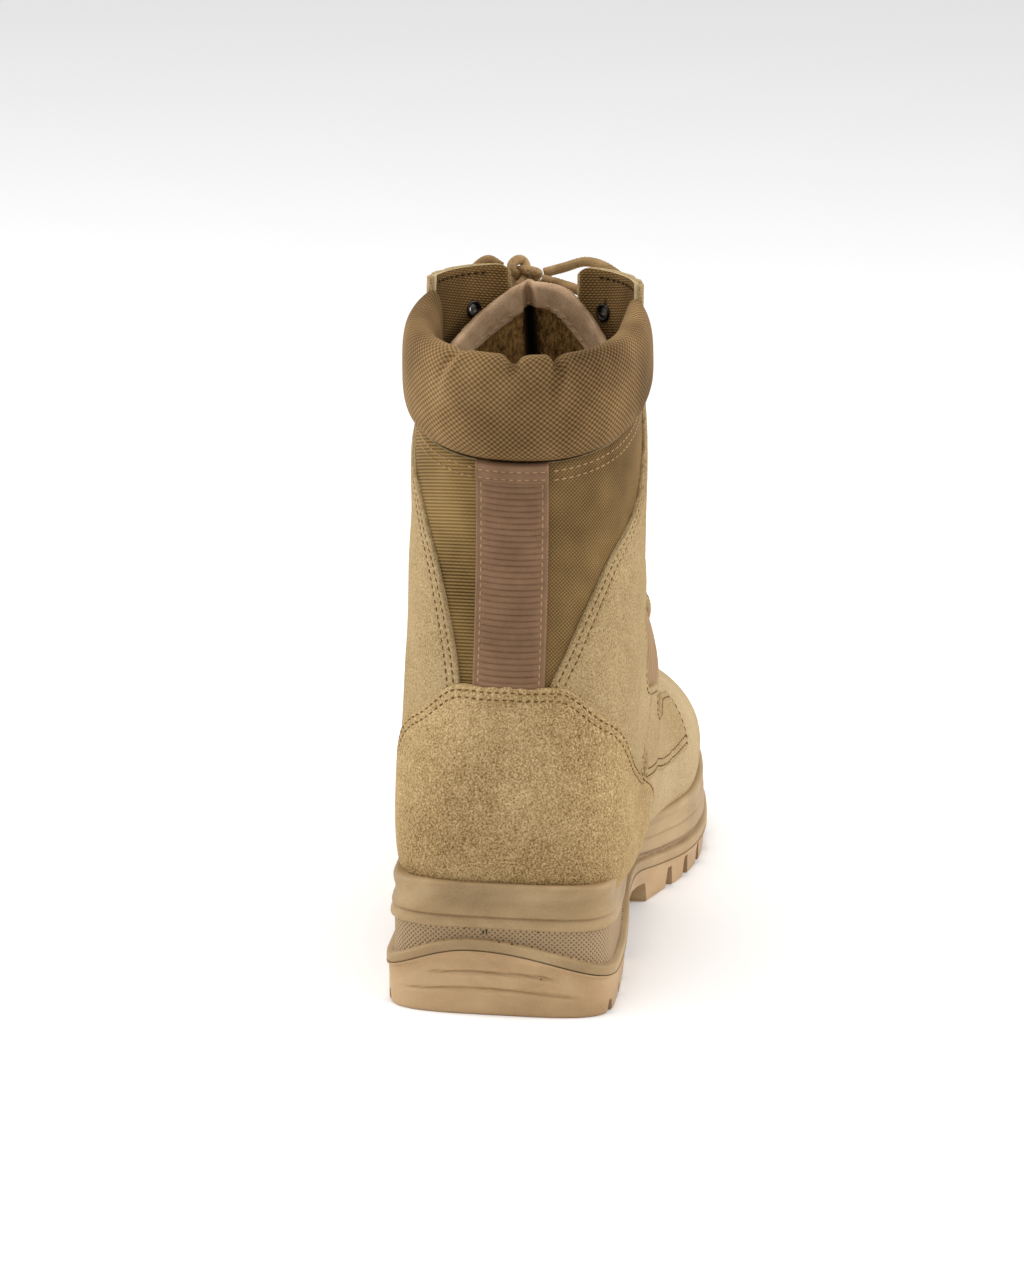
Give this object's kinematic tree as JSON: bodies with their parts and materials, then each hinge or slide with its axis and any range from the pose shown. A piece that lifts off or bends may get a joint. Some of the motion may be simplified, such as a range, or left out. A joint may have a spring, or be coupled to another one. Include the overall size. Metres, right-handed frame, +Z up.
{
  "type": "combat boot",
  "caption": "Laced high combat boot for the left foot, suede and nylon upper with padded collar, webbing back strap, moulded midsole and lugged rubber outsole.",
  "frame": {"origin": "middle of the underside of the boot's box, without the free lace, on the ground", "axes": "+X from heel to toe, +Y to the lateral (outer) side of the left foot, +Z up"},
  "size_m": [0.3032, 0.1106, 0.2433],
  "materials": {
    "suede": "rough suede nap",
    "nylon": "woven nylon, slight sheen",
    "webbing": "ribbed nylon webbing",
    "lining": "brushed mesh",
    "midsole": "moulded, satin",
    "outsole": "moulded, satin",
    "lace": "braided cord",
    "bronze": "dark antique"
  },
  "bodies": {
    "root": {"outsole": "outsole", "midsole": "midsole", "insole": "lining", "vamp": "suede", "upper": "suede", "heel_counter": "suede", "collar_pad": "nylon", "back_strap": "webbing", "tongue": "webbing", "lace_crossings": "lace", "lace_knot": "lace", "lace_loop_lateral": "lace", "lace_loop_medial": "lace", "lace_end_lateral": "lace", "lace_end_medial": "lace", "eyelet_lateral_1": "bronze", "eyelet_medial_1": "bronze", "eyelet_lateral_2": "bronze", "eyelet_medial_2": "bronze", "eyelet_lateral_3": "bronze", "eyelet_medial_3": "bronze", "eyelet_lateral_4": "bronze", "eyelet_medial_4": "bronze", "eyelet_lateral_5": "bronze", "eyelet_medial_5": "bronze", "eyelet_lateral_6": "bronze", "eyelet_medial_6": "bronze", "eyelet_lateral_7": "bronze", "eyelet_medial_7": "bronze", "eyelet_lateral_8": "bronze", "eyelet_medial_8": "bronze"}
  },
  "joints": []
}
